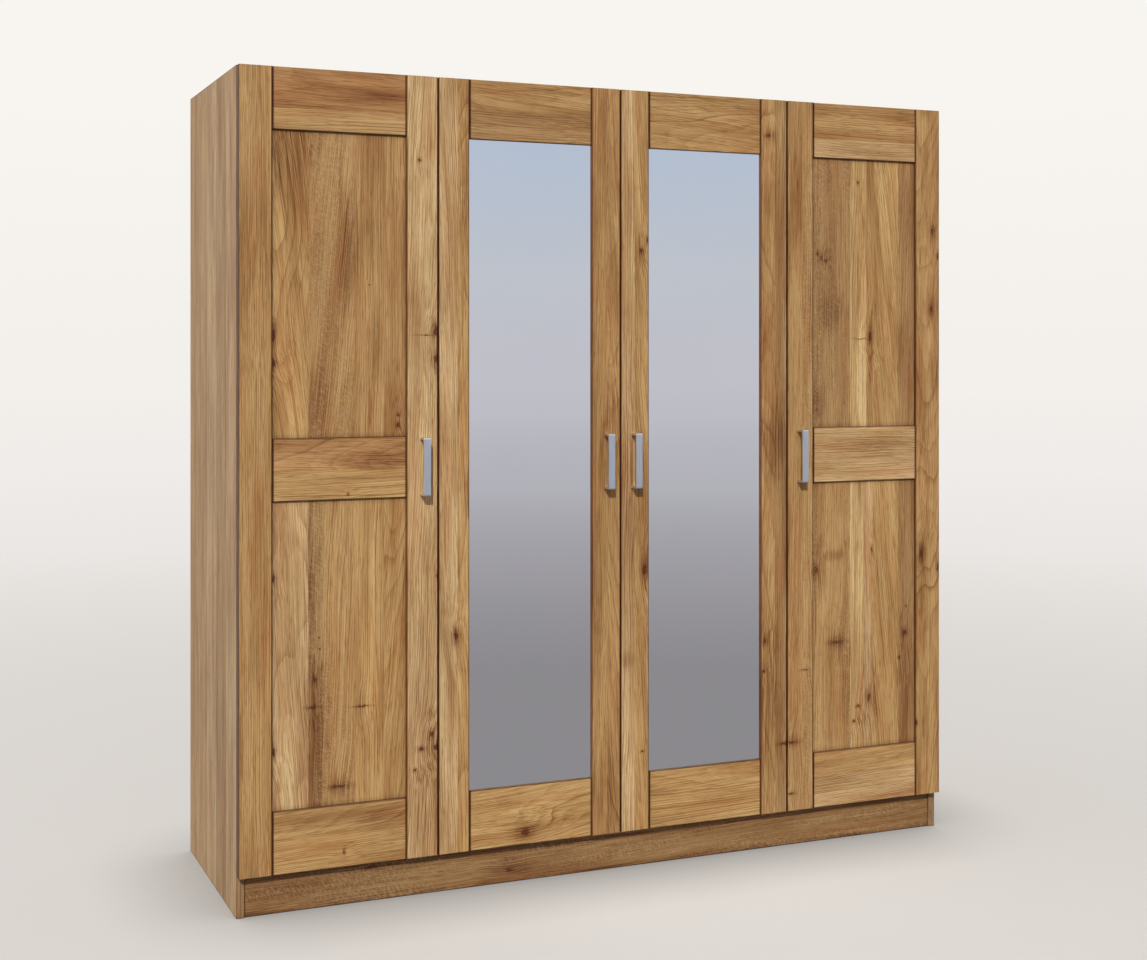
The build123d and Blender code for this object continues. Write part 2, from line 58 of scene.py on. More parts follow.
# The boards in sight, in millimetres in the frame.
# A strip is its tone, its cut and how many degrees its grain slants across the board. Crown cut shows
# arches, rift cut shows stripes, and quarter cut shows stripes and flecks. Edges between strips are places
# across the grain. A knot or crack, and a brown shade, is (across, along, half breadth, half length).
# The two long shades on the plinth are painted shade instead.
FIGURE = {
    "left_door_hinge_stile": {"strips": [("oak", "rift", 0)]},
    "left_door_free_stile": {
        "strips": [("cream", "rift", 2)],
        "knots": [
            (-549, 1827, 4, 4), (-507, 1404, 7, 15), (-506, 1336, 7, 12), (-530, 1394, 22, 1),
            (-502, 798, 4, 9), (-518, 403, 6, 10), (-546, 369, 8, 5), (-507, 370, 6, 9), (-562, 318, 4, 4),
        ],
        "shades": [(-535, 380, 44, 260), (-510, 1370, 16, 80), (-518, 403, 18, 40)],
    },
    "left_door_upper_panel": {
        "strips": [("honey", "crown", -7), ("oak", "quarter", 5), ("oak", "rift", 1), ("oak", "rift", 0)],
        "edges": [-829, -715, -640],
        "knots": [
            (-914, 1392, 5, 20), (-914, 1327, 5, 16), (-602, 1197, 4, 5), (-603, 1173, 5, 8),
            (-675, 1517, 2, 2),
        ],
        "shades": [(-870, 1860, 70, 160), (-749, 1740, 6, 90), (-735, 1600, 30, 150), (-800, 1230, 30, 120)],
    },
    "left_door_lower_panel": {
        "strips": [
            ("cream", "crown", -3), ("brown", "quarter", 2), ("oak", "quarter", 2), ("honey", "rift", 0),
            ("honey", "crown", 4),
        ],
        "edges": [-829, -795, -715, -640],
        "knots": [
            (-914, 810, 4, 11), (-914, 393, 4, 13), (-814, 560, 6, 9), (-819, 493, 13, 3),
            (-694, 486, 18, 2), (-755, 296, 20, 4), (-803, 662, 2, 2), (-801, 633, 2, 2),
        ],
        "shades": [(-814, 567, 22, 60), (-815, 400, 42, 190), (-752, 296, 34, 24), (-826, 800, 14, 200)],
    },
    "left_door_top_rail": {
        "strips": [("oak", "rift", 1), ("russet", "crown", -2)],
        "edges": [1937],
        "shades": [(1985, -640, 18, 70)],
    },
    "left_door_middle_rail": {
        "strips": [("honey", "rift", 1), ("russet", "crown", -2)],
        "edges": [1065],
        "knots": [(1007, -732, 3, 3)],
        "shades": [(1085, -640, 22, 90)],
    },
    "left_door_bottom_rail": {
        "strips": [("honey", "rift", 2), ("oak", "crown", 3)],
        "edges": [188],
        "knots": [(138, -742, 5, 3)],
        "shades": [(206, -640, 22, 80)],
    },
    "left_mirror_door_hinge_stile": {
        "strips": [("cream", "rift", -2), ("honey", "crown", -2)],
        "edges": [-450],
        "knots": [(-454, 642, 6, 11)],
        "shades": [(-454, 645, 16, 36), (-424, 1006, 10, 60), (-426, 1720, 16, 300)],
    },
    "left_mirror_door_free_stile": {
        "strips": [("oak", "rift", 1), ("oak", "crown", -3)],
        "edges": [-38],
        "shades": [(-25, 1120, 30, 160), (-30, 230, 40, 130)],
    },
    "left_mirror_door_top_rail": {
        "strips": [("brown", "rift", -2), ("oak", "crown", -4)],
        "edges": [1960],
    },
    "left_mirror_door_bottom_rail": {
        "strips": [("honey", "crown", 4)],
        "knots": [(131, -268, 10, 13)],
        "shades": [(134, -268, 24, 46)],
    },
    "right_mirror_door_free_stile": {
        "strips": [("cream", "rift", 0), ("honey", "rift", -3)],
        "edges": [40],
        "knots": [(77, 1647, 3, 10), (60, 1617, 5, 7), (69, 781, 8, 18), (62, 305, 5, 2)],
        "shades": [(60, 1620, 14, 40), (68, 785, 16, 60), (26, 1030, 30, 260), (20, 547, 18, 24)],
    },
    "right_mirror_door_hinge_stile": {
        "strips": [("oak", "crown", 2), ("brown", "rift", 0)],
        "edges": [462],
        "knots": [(443, 1938, 8, 4), (430, 570, 6, 8), (428, 488, 5, 3), (492, 286, 14, 4)],
        "shades": [(432, 574, 26, 46), (455, 1100, 45, 100), (440, 380, 34, 240), (446, 1938, 18, 30)],
    },
    "right_mirror_door_top_rail": {"strips": [("oak", "crown", -5)]},
    "right_mirror_door_bottom_rail": {
        "strips": [("honey", "rift", 1), ("honey", "crown", 3)],
        "edges": [190],
    },
    "right_door_free_stile": {
        "strips": [("oak", "rift", 1), ("oak", "quarter", 0)],
        "edges": [548],
        "knots": [(559, 482, 14, 2), (515, 287, 16, 3), (511, 148, 10, 3)],
        "shades": [(520, 290, 24, 20)],
    },
    "right_door_upper_panel": {
        "strips": [
            ("brown", "quarter", 0), ("pale", "rift", 0), ("honey", "rift", -2), ("honey", "rift", -6),
            ("brown", "rift", 2),
        ],
        "edges": [705, 758, 784, 864],
        "knots": [
            (601, 1621, 4, 4), (613, 1611, 3, 5), (626, 1604, 5, 3), (732, 1822, 3, 4), (771, 1395, 6, 15),
            (745, 1388, 20, 1),
        ],
        "shades": [(638, 1465, 40, 50), (600, 1210, 26, 60), (620, 1612, 24, 24), (772, 1350, 8, 110)],
    },
    "right_door_lower_panel": {
        "strips": [
            ("oak", "quarter", 1), ("pale", "rift", 0), ("cream", "rift", -2), ("honey", "rift", -5),
            ("brown", "rift", 0),
        ],
        "edges": [705, 748, 780, 864],
        "knots": [
            (595, 752, 6, 12), (662, 549, 18, 4), (777, 801, 2, 9), (767, 389, 5, 13), (732, 367, 6, 4),
            (718, 326, 4, 4), (887, 561, 8, 9), (868, 492, 4, 4), (891, 635, 2, 2),
        ],
        "shades": [
            (640, 790, 46, 16), (610, 760, 24, 80), (887, 470, 26, 170), (738, 400, 46, 170),
            (662, 549, 30, 24),
        ],
    },
    "right_door_hinge_stile": {
        "strips": [("oak", "crown", 1)],
        "knots": [
            (975, 1694, 5, 10), (993, 1624, 4, 11), (971, 1473, 5, 12), (938, 783, 6, 15), (994, 742, 4, 16),
            (922, 306, 3, 8),
        ],
        "shades": [(975, 1694, 16, 40), (971, 1473, 16, 44), (938, 783, 18, 50), (984, 1290, 14, 70)],
    },
    "right_door_top_rail": {
        "strips": [("cream", "rift", 1), ("oak", "rift", 0)],
        "edges": [1938],
    },
    "right_door_middle_rail": {
        "strips": [("cream", "rift", 1), ("cream", "rift", 0)],
        "edges": [1060],
    },
    "right_door_bottom_rail": {
        "strips": [("cream", "rift", 2), ("honey", "rift", 2)],
        "edges": [190],
    },
    "plinth_front": {
        "strips": [("umber", "quarter", 1)],
        "knots": [(30, -300, 4, 8)],
        # Painted shade: the upper long band is the painted shadow of the doors' overhang, and the lower one
        # darkens the plinth towards its foot.
        "shades": [(40, -300, 30, 60), (98, 0, 24, 4000), (0, 0, 14, 4000)],
    },
    # The side's paler cream and honey strips are partly painted sheen, standing in for the whitish haze the
    # side shows at a grazing view.
    "left_side": {
        "strips": [
            ("cream", "rift", 0), ("oak", "rift", 0), ("cream", "rift", 0), ("honey", "rift", 0),
            ("honey", "rift", 0),
        ],
        "edges": [-150, -30, 90, 210],
    },
}

# Boards out of sight get strips by lot: widths in millimetres, tones, cuts and the most degrees of slant
FIRST_STRIP_WIDTH = (45, 100)
NEXT_STRIP_WIDTH = (60, 120)
LEAST_LAST_STRIP = 30
LOT_TONES = ("honey", "oak", "oak", "cream", "brown")
LOT_CUTS = ("rift", "rift", "crown", "quarter")
LOT_SLANT = 3

# Which frame axes run along the grain, across the board's face and through its thickness
GRAIN_BY_ENDING = {
    "top_panel": "XYZ",
    "bottom_panel": "XYZ",
    "shelves": "XYZ",
    "_shelf": "XYZ",
    "_stile": "ZXY",
    "_panel": "ZXY",
    "_beads": "ZXY",
    "_back": "ZXY",
    "_rail": "XZY",
    "plinth_front": "XZY",
    "plinth_rear": "XZY",
    "plinth_bearers": "YZX",
    "_side": "ZYX",
    "_divider": "ZYX",
}


def linear(hex_colour):
    """An sRGB hex value as a linear colour."""
    parts = [int(hex_colour[i : i + 2], 16) / 255 for i in (0, 2, 4)]
    return [c / 12.92 if c <= 0.04045 else ((c + 0.055) / 1.055) ** 2.4 for c in parts] + [1.0]


def feed(tree, node, inputs):
    """Fill a node's inputs, each with a number, a list, a hex colour, a node or one socket of a node."""
    for key, value in inputs.items():
        if isinstance(value, bpy.types.Node):
            value = next(socket for socket in value.outputs if socket.enabled)
        if isinstance(value, bpy.types.NodeSocket):
            tree.links.new(value, node.inputs[key])
        else:
            node.inputs[key].default_value = linear(value) if isinstance(value, str) else value


def add(tree, kind, inputs=None, stops=(), held=False, **settings):
    """Add a shader node with its settings and inputs. Stops fill a colour ramp, blended unless held."""
    node = tree.nodes.new("ShaderNode" + kind)
    for name, value in settings.items():
        setattr(node, name, value)
    feed(tree, node, inputs or {})
    if stops:
        ramp = node.color_ramp
        ramp.interpolation = "CONSTANT" if held else "LINEAR"
        while len(ramp.elements) > len(stops):
            ramp.elements.remove(ramp.elements[-1])
        while len(ramp.elements) < len(stops):
            ramp.elements.new(1.0)
        for element, (place, colour) in zip(ramp.elements, stops):
            element.position = place
            element.color = linear(colour) if isinstance(colour, str) else colour
    return node


def new_surface(name):
    """An empty material, its node tree and its shader."""
    material = bpy.data.materials.new(name)
    material.use_nodes = True
    tree = material.node_tree
    return material, tree, tree.nodes["Principled BSDF"]


# Oak: glued-up strips of knotty oak, planed, sanded and oiled.
# Rings show as arches and stripes, open pores as short dark dashes, and the oil gives a dull sheen.
# True rings are 2 to 3 mm and pores 0.3 mm wide; both are drawn coarser so that they show in the render.
# A pattern that follows the grain is (length, breadth).
RING_WIDTH = 3.2 * MM
STREAK = (420 * MM, 1.7 * MM)
PORE = (36 * MM, 1.5 * MM)
WANDER = (520 * MM, 120 * MM)
WANDER_REACH = 22 * MM
RIPPLE = (110 * MM, 24 * MM)
RIPPLE_REACH = 2 * MM
CLOUD = (360 * MM, 42 * MM)
RAGGED = (9 * MM, 7 * MM)
RAGGED_REACH = 9 * MM
FLECK = (11 * MM, 3.0 * MM)
FLECK_SLANT = 55.0

# Noises differ from strip to strip by their lots times a stride, and from board to board by a chance place
LOT_STRIDE = (37.0, 53.0, 29.0)
CHANCE_REACH = 50

# The pith, the heart that the rings grow round. Its depth is measured from the frame's origin, so it lies
# well behind a door, and the arches are broad. A crown-cut strip has it within its own width, and other cuts
# have it aside. Leans and insets are shares.
PITH_DEPTH = (4 * MM, 26 * MM)
PITH_TILT = 0.035
PITH_ROOM = 350 * MM
CROWN_INSET = (0.05, 0.3)
CROWN_LEANS = ((0.0, 0.25), (0.75, 1.0))
PITH_ASIDE = (120 * MM, 300 * MM)
STRAIGHT_LEAN = (0.35, 0.65)
SLANT_LIMIT = 10.0

# A ring starts with a thin dark line, paler where the cut runs along the rings, and then fades slowly
RING_WAVER = 0.1
RING_LINE_PART = {"From Min": 0.02, "From Max": 0.30, "To Min": 1.0, "To Max": 0.0}
EARLY_WOOD_PART = {"From Min": 0.0, "From Max": 0.85, "To Min": 1.0, "To Max": 0.0}
LINE_BY_STEEPNESS = {"From Min": 0.0, "From Max": 0.25, "To Min": 0.4, "To Max": 1.0}

# Where a noise begins to show and where it shows in full
STREAK_SHOWS = {"From Min": 0.40, "From Max": 0.68}
PORE_SHOWS = {"From Min": 0.54, "From Max": 0.72}
SHADED_SHOWS = {"From Min": 0.42, "From Max": 0.75}
REDDENED_SHOWS = {"From Min": 0.46, "From Max": 0.75}
GREYED_SHOWS = {"From Min": 0.46, "From Max": 0.75}
FLECK_SHOWS = {"From Min": 0.42, "From Max": 0.68, "To Max": 0.22}
FLECKED_SHOWS = {"From Min": 0.40, "From Max": 0.62}
FLECK_COLOUR = "D2B488"

# What darkens a strip's tone, as (strength, stain)
RING_LINE_STAIN = (0.85, "9C774E")
EARLY_WOOD_STAIN = (0.20, "CDAE88")
SHADED_STAIN = (0.65, "BFA07C")
REDDENED_STAIN = (0.45, "E2B590")
GREYED_STAIN = (0.45, "CCC2A8")
STREAK_STAIN = (0.85, "C0A382")
PORE_STAIN = (0.60, "AE906C")
SHADE_STAIN = (0.30, "B78B5E")
SHADE_STREAK_STAIN = (0.75, "AE8356")
HALO_STAIN = (0.35, "AE7B4E")
HALO_STREAK_STAIN = (0.75, "A27046")
KNOT_STAIN = (0.88, "4C2206")

# Ragged ellipses, as (let out by this factor, full to this share of the half length, gone from this share)
KNOT_SPREAD = (1.0, 0.55, 1.05)
HALO_SPREAD = (2.4, 0.2, 1.2)
SHADE_SPREAD = (1.0, 0.2, 1.5)
BEND_SPREAD = (5.0, 0.0, 1.5)

# How far the grain swells through the board at a knot, as a share of how far it bends across
KNOT_BULGE = 0.35

# Painted shade along the joints, the door gaps and the recess walls, where shadow falls, as (full to here,
# gone from here, strength, shade colour). The last is painted shade spreading onto a panel from its frame.
END_SHADE_LINE = (2.8 * MM, 5.6 * MM, 0.92, "62381A")
EDGE_SHADE_LINE = (1.3 * MM, 3.4 * MM, 0.90, "62381A")
SOFT_SHADE_LINE = (1.3 * MM, 3.4 * MM, 0.92, "9A7049")
MIRROR_SHADE_LINE = (1.3 * MM, 3.4 * MM, 0.88, "66452B")
PANEL_RIM_SHADE_LINE = (0.6 * MM, 2.2 * MM, 0.80, "62381A")
RAIL_SHADE_LINE = (1.0 * MM, 3.0 * MM, 0.65, "62381A")
FAINT_SHADE_LINE = (1.0 * MM, 3.0 * MM, 0.55, "62381A")
PANEL_FRAME_SHADE = (0.0, 16 * MM, 0.30, "94724E")
OPEN_EDGE_EASE = Vector((1.2 * MM, 0.0, 6 * MM))

# Oil lies glossier between the streaks, and the pores are sunk
OAK_ROUGHNESS = {"From Min": 0.3, "From Max": 0.7, "To Min": 0.42, "To Max": 0.58}
OAK_RELIEF = {"Strength": 0.2, "Distance": 0.2 * MM}
OAK_GLOSS = {"IOR": 1.5, "Specular IOR Level": 0.25}
PORE_SINK = 0.7


def shown_face(node):
    """The part of a board that its neighbours leave in sight, let out a little where an edge is open."""
    low, high = (Vector(corner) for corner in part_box(node))
    if "_door_" not in node:
        return low, high
    door = node.split("_door_")[0] + "_door"
    stiles = [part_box(f"{door}_{side}_stile") for side in ("hinge", "free")]
    stiles.sort(key=lambda corners: corners[0].x)
    if node.endswith("_stile"):
        is_left = low.x == stiles[0][0].x
        low -= OPEN_EDGE_EASE if is_left else Vector((0, 0, OPEN_EDGE_EASE.z))
        high += Vector((0, 0, OPEN_EDGE_EASE.z)) if is_left else OPEN_EDGE_EASE
        return low, high
    low.x, high.x = stiles[0][1].x, stiles[1][0].x
    if node.endswith("_top_rail"):
        high.z += OPEN_EDGE_EASE.z
    if node.endswith("_bottom_rail"):
        low.z -= OPEN_EDGE_EASE.z
    if node.endswith("_lower_panel"):
        low.z, high.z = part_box(f"{door}_bottom_rail")[1].z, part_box(f"{door}_middle_rail")[0].z
    if node.endswith("_upper_panel"):
        low.z, high.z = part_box(f"{door}_middle_rail")[1].z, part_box(f"{door}_top_rail")[0].z
    return low, high


def joint_lines(node):
    """The painted shade lines along a board's ends, and those along its edges."""
    if node.endswith("er_panel"):
        return [PANEL_RIM_SHADE_LINE, PANEL_FRAME_SHADE], [PANEL_RIM_SHADE_LINE, PANEL_FRAME_SHADE]
    if "_door_" in node and node.endswith("_rail"):
        under_mirror = node.endswith("mirror_door_bottom_rail")
        return [END_SHADE_LINE], [MIRROR_SHADE_LINE if under_mirror else RAIL_SHADE_LINE]
    if node.endswith("_stile"):
        # Painted shade: a right-hand stile's inner recess wall faces the key light from the left, so its
        # line is the softer one.
        is_right_hand = node.startswith("left_") == node.endswith("_free_stile")
        return [EDGE_SHADE_LINE], [SOFT_SHADE_LINE if is_right_hand else EDGE_SHADE_LINE]
    if "_door_" in node or node == "plinth_front":
        return [EDGE_SHADE_LINE], [EDGE_SHADE_LINE]
    return [FAINT_SHADE_LINE], [FAINT_SHADE_LINE]


def chance_figure(chance, start, width):
    """Strips for a board that is out of sight, by lot."""
    edges = []
    edge = start / MM + chance.uniform(*FIRST_STRIP_WIDTH)
    while edge < (start + width) / MM - LEAST_LAST_STRIP:
        edges.append(edge)
        edge += chance.uniform(*NEXT_STRIP_WIDTH)
    strips = []
    for _ in range(len(edges) + 1):
        tone = chance.choice(LOT_TONES)
        cut = chance.choice(LOT_CUTS)
        strips.append((tone, cut, chance.uniform(-LOT_SLANT, LOT_SLANT)))
    return {"strips": strips, "edges": edges}


class OakBoard:
    """The oiled oak of one board, cut from solid strips whose rings run on through its edges and ends."""

    def __init__(self, node, seed):
        self.node = node
        self.chance = random.Random(seed)
        self.material, self.tree, self.shader = new_surface(f"oiled knotty oak, planed and sanded: {node}")
        axes = next(axes for ending, axes in GRAIN_BY_ENDING.items() if node.endswith(ending))
        self.along, self.across = ("XYZ".index(axis) for axis in axes[:2])
        low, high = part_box(node)
        self.start = low[self.across]
        self.width = high[self.across] - low[self.across]
        self.length = high[self.along] - low[self.along]
        figure = FIGURE.get(node) or chance_figure(self.chance, self.start, self.width)
        self.strips = figure["strips"]
        self.edges = figure.get("edges", [])
        self.knots = figure.get("knots", [])
        self.shades = figure.get("shades", [])

        # A point's places along, across and through the board
        split = add(self.tree, "SeparateXYZ", {0: add(self.tree, "TexCoord").outputs["Object"]})
        self.u, self.v, self.w = (split.outputs[axis] for axis in axes)
        self.spot = add(self.tree, "CombineXYZ", {0: self.u, 1: self.v, 2: self.w})
        middle = (low[self.along] + high[self.along]) / 2
        self.from_middle = add(self.tree, "Math", {0: self.u, 1: middle}, operation="SUBTRACT")

    def surface(self):
        """Work out the whole surface, and give back its material."""
        self.lay_strips()
        self.run_grain()
        self.grow_rings()
        colour = self.with_joint_lines(self.with_flecks(self.with_knots(self.with_stains())))
        rough = add(self.tree, "MapRange", {"Value": self.streak, **OAK_ROUGHNESS})
        height = {0: self.pore, 1: -PORE_SINK, 2: self.early_wood}
        height = add(self.tree, "Math", height, operation="MULTIPLY_ADD")
        bump = add(self.tree, "Bump", {"Height": height, **OAK_RELIEF})
        feed(self.tree, self.shader, {"Base Color": colour, "Roughness": rough, "Normal": bump, **OAK_GLOSS})
        return self.material

    def pith_lot(self, strip, strip_low, strip_high):
        """Four numbers from 0 to 1: the pith across and through, its lean, and the slant of the grain."""
        chance = self.chance
        _, cut, slant = strip
        if cut == "crown":
            inset = chance.uniform(*CROWN_INSET) * (strip_high - strip_low)
            place = chance.choice((strip_low + inset, strip_high - inset))
            lean = chance.choice([chance.uniform(*lean) for lean in CROWN_LEANS])
        else:
            before = strip_low - chance.uniform(*PITH_ASIDE)
            beyond = strip_high + chance.uniform(*PITH_ASIDE)
            place = chance.choice((before, beyond))
            lean = chance.uniform(*STRAIGHT_LEAN)
        beside = (place - self.start + PITH_ROOM) / (self.width + 2 * PITH_ROOM)
        return [beside, chance.random(), lean, 0.5 + slant / SLANT_LIMIT / 2]

    def lay_strips(self):
        """Give each strip its tone, its pith's lot, a mark if quarter cut, and its own stretch of noise."""
        end = self.start + self.width
        bounds = [self.start] + [edge * MM for edge in self.edges] + [end]
        tones, lots, quarters = [], [], []
        for strip, strip_low, strip_high in zip(self.strips, bounds, bounds[1:]):
            begin = (strip_low - self.start) / self.width
            tones.append((begin, OAK_TONES[strip[0]]))
            lots.append((begin, self.pith_lot(strip, strip_low, strip_high)))
            quarters.append((begin, "FFFFFF" if strip[1] == "quarter" else "000000"))
        place = add(self.tree, "MapRange", {"Value": self.v, "From Min": self.start, "From Max": end})
        self.tone = add(self.tree, "ValToRGB", {0: place}, tones, held=True)
        self.lot = add(self.tree, "ValToRGB", {0: place}, lots, held=True)
        self.quarter = add(self.tree, "ValToRGB", {0: place}, quarters, held=True)
        places = [self.chance.uniform(-CHANCE_REACH, CHANCE_REACH) for _ in range(3)]
        shift = {0: self.lot, 1: LOT_STRIDE, 2: places}
        self.shift = add(self.tree, "VectorMath", shift, operation="MULTIPLY_ADD")

    def grain_noise(self, where, size, detail):
        """Noise drawn out along the grain to a length and a breadth."""
        length, breadth = size
        stretched = {0: where, 1: (1 / length, 1 / breadth, 1 / breadth), 2: self.shift}
        stretched = add(self.tree, "VectorMath", stretched, operation="MULTIPLY_ADD")
        return add(self.tree, "TexNoise", {"Vector": stretched, "Scale": 1.0, "Detail": detail})

    def displaced(self, where, noise, reach):
        """A place moved by a noise."""
        centred = {0: noise.outputs["Color"], 1: (0.5, 0.5, 0.5)}
        centred = add(self.tree, "VectorMath", centred, operation="SUBTRACT")
        return add(self.tree, "VectorMath", {0: centred, 1: reach, 2: where}, operation="MULTIPLY_ADD")

    def patch(self, mark, spread):
        """How far a place lies inside a ragged knot or shade: 1 within, 0 beyond."""
        mark_v, mark_u, half_v, half_u = (length * MM for length in mark)
        growth, full, gone = spread
        offset = {0: self.ragged, 1: (mark_u, mark_v, 0.0)}
        offset = add(self.tree, "VectorMath", offset, operation="SUBTRACT")
        scaled = {0: offset, 1: (1 / half_u / growth, 1 / half_v / growth, 0.0)}
        scaled = add(self.tree, "VectorMath", scaled, operation="MULTIPLY")
        reach = add(self.tree, "VectorMath", {0: scaled}, operation="LENGTH")
        inside = {"Value": reach, "From Min": full, "From Max": gone, "To Min": 1.0, "To Max": 0.0}
        return add(self.tree, "MapRange", inside, interpolation_type="SMOOTHSTEP")

    def patches(self, marks, spread):
        """Several knots or shades as one."""
        whole = self.patch(marks[0], spread)
        for mark in marks[1:]:
            whole = add(self.tree, "Math", {0: whole, 1: self.patch(mark, spread)}, operation="MAXIMUM")
        return whole

    def run_grain(self):
        """The grain slants, wanders slowly along the board, ripples a little and bends round the knots."""
        slope = tan(radians(SLANT_LIMIT))
        share = self.lot.outputs["Alpha"]
        slant = add(self.tree, "MapRange", {"Value": share, "To Min": slope, "To Max": -slope})
        slanted = {0: self.from_middle, 1: slant, 2: self.v}
        slanted = add(self.tree, "Math", slanted, operation="MULTIPLY_ADD")
        grain = add(self.tree, "CombineXYZ", {0: self.u, 1: slanted, 2: self.w})
        wander = self.grain_noise(self.spot, WANDER, 1.0)
        grain = self.displaced(grain, wander, (0.0, WANDER_REACH, WANDER_REACH))
        ripple = self.grain_noise(self.spot, RIPPLE, 1.0)
        grain = self.displaced(grain, ripple, (0.0, RIPPLE_REACH, RIPPLE_REACH))
        rag = self.grain_noise(self.spot, RAGGED, 2.0)
        self.ragged = self.displaced(self.spot, rag, (RAGGED_REACH, RAGGED_REACH, 0.0))
        for mark_v, mark_u, half_v, half_u in self.knots:
            size = (half_v * half_u) ** 0.5
            bend = self.patch((mark_v, mark_u, size, 2 * size), BEND_SPREAD)
            bend = {0: bend, 1: (0.0, size * MM, KNOT_BULGE * size * MM), 2: grain}
            grain = add(self.tree, "VectorMath", bend, operation="MULTIPLY_ADD")
        self.grain = grain
        self.streak = self.grain_noise(grain, STREAK, 2.0)
        self.pore = add(self.tree, "MapRange", {"Value": self.grain_noise(grain, PORE, 1.0), **PORE_SHOWS})
        cloud = self.grain_noise(grain, CLOUD, 1.5)
        self.clouds = add(self.tree, "SeparateColor", {0: cloud.outputs["Color"]}).outputs

    def pith_offset(self):
        """How far a point lies from its strip's leaning pith, across and through the board."""
        lots = add(self.tree, "SeparateColor", {0: self.lot}).outputs
        bent = add(self.tree, "SeparateXYZ", {0: self.grain}).outputs
        first, last = self.start - PITH_ROOM, self.start + self.width + PITH_ROOM
        pith_v = add(self.tree, "MapRange", {"Value": lots[0], "To Min": first, "To Max": last})
        shallow, deep = (PITH_TILT * self.length / 2 + depth for depth in PITH_DEPTH)
        pith_w = add(self.tree, "MapRange", {"Value": lots[1], "To Min": shallow, "To Max": deep})
        lean = add(self.tree, "MapRange", {"Value": lots[2], "To Min": -PITH_TILT, "To Max": PITH_TILT})
        leaning = add(self.tree, "Math", {0: self.from_middle, 1: lean, 2: pith_w}, operation="MULTIPLY_ADD")
        from_v = add(self.tree, "Math", {0: bent["Y"], 1: pith_v}, operation="SUBTRACT")
        from_w = add(self.tree, "Math", {0: leaning, 1: bent["Z"]}, operation="SUBTRACT")
        return from_v, from_w

    def grow_rings(self):
        """Count the rings out from the pith, and draw each one's line and early wood. Years differ."""
        from_v, from_w = self.pith_offset()
        from_pith = add(self.tree, "CombineXYZ", {0: from_v, 1: from_w})
        radius = add(self.tree, "VectorMath", {0: from_pith}, operation="LENGTH")
        rings = add(self.tree, "Math", {0: radius, 1: RING_WIDTH}, operation="DIVIDE")
        rings = add(self.tree, "Math", {0: self.streak, 1: RING_WAVER, 2: rings}, operation="MULTIPLY_ADD")
        part_of_ring = add(self.tree, "Math", {0: rings}, operation="FRACT")
        year = add(self.tree, "Math", {0: rings}, operation="FLOOR")
        growth = add(self.tree, "TexWhiteNoise", {"W": year}, noise_dimensions="1D").outputs["Value"]
        steepness = add(self.tree, "Math", {0: from_v, 1: radius}, operation="DIVIDE")
        steepness = add(self.tree, "Math", {0: steepness}, operation="ABSOLUTE")
        crisp = add(self.tree, "MapRange", {"Value": steepness, **LINE_BY_STEEPNESS})
        line = add(self.tree, "MapRange", {"Value": part_of_ring, **RING_LINE_PART})
        line = add(self.tree, "Math", {0: line, 1: growth}, operation="MULTIPLY")
        self.ring_line = add(self.tree, "Math", {0: line, 1: crisp}, operation="MULTIPLY")
        self.early_wood = add(self.tree, "MapRange", {"Value": part_of_ring, **EARLY_WOOD_PART})

    def with_stains(self):
        """The strips' tones under rings, clouds, streaks and pores, browner in shades and round knots."""
        streaked = add(self.tree, "MapRange", {"Value": self.streak, **STREAK_SHOWS})
        shaded = add(self.tree, "MapRange", {"Value": self.clouds[0], **SHADED_SHOWS})
        reddened = add(self.tree, "MapRange", {"Value": self.clouds[1], **REDDENED_SHOWS})
        greyed = add(self.tree, "MapRange", {"Value": self.clouds[2], **GREYED_SHOWS})
        stains = [
            (self.ring_line, RING_LINE_STAIN),
            (self.early_wood, EARLY_WOOD_STAIN),
            (shaded, SHADED_STAIN),
            (reddened, REDDENED_STAIN),
            (greyed, GREYED_STAIN),
            (streaked, STREAK_STAIN),
            (self.pore, PORE_STAIN),
        ]
        browns = [
            (self.shades, SHADE_SPREAD, SHADE_STAIN, SHADE_STREAK_STAIN),
            (self.knots, HALO_SPREAD, HALO_STAIN, HALO_STREAK_STAIN),
        ]
        for marks, spread, stain, streak_stain in browns:
            if marks:
                brown = self.patches(marks, spread)
                brown_streaks = add(self.tree, "Math", {0: brown, 1: streaked}, operation="MULTIPLY")
                stains += [(brown, stain), (brown_streaks, streak_stain)]
        colour = self.tone
        for share, (strength, stain) in stains:
            share = add(self.tree, "Math", {0: share, 1: strength}, operation="MULTIPLY")
            colour = {0: share, 6: colour, 7: stain}
            colour = add(self.tree, "Mix", colour, data_type="RGBA", blend_type="MULTIPLY")
        return colour

    def with_knots(self, colour):
        """The dark cores of the knots."""
        if not self.knots:
            return colour
        strength, stain = KNOT_STAIN
        share = {0: self.patches(self.knots, KNOT_SPREAD), 1: strength}
        share = add(self.tree, "Math", share, operation="MULTIPLY")
        return add(self.tree, "Mix", {0: share, 6: colour, 7: stain}, data_type="RGBA")

    def with_flecks(self, colour):
        """The silvery dashes that rays leave across quarter-cut strips."""
        if not any(cut == "quarter" for _, cut, _ in self.strips):
            return colour
        turned = {"Vector": self.grain, "Angle": radians(FLECK_SLANT)}
        turned = add(self.tree, "VectorRotate", turned, rotation_type="Z_AXIS")
        dash = add(self.tree, "MapRange", {"Value": self.grain_noise(turned, FLECK, 1.0), **FLECK_SHOWS})
        where = add(self.tree, "MapRange", {"Value": self.clouds[2], **FLECKED_SHOWS})
        fleck = add(self.tree, "Math", {0: dash, 1: where}, operation="MULTIPLY")
        fleck = add(self.tree, "Math", {0: fleck, 1: self.quarter}, operation="MULTIPLY")
        return add(self.tree, "Mix", {0: fleck, 6: colour, 7: FLECK_COLOUR}, data_type="RGBA")

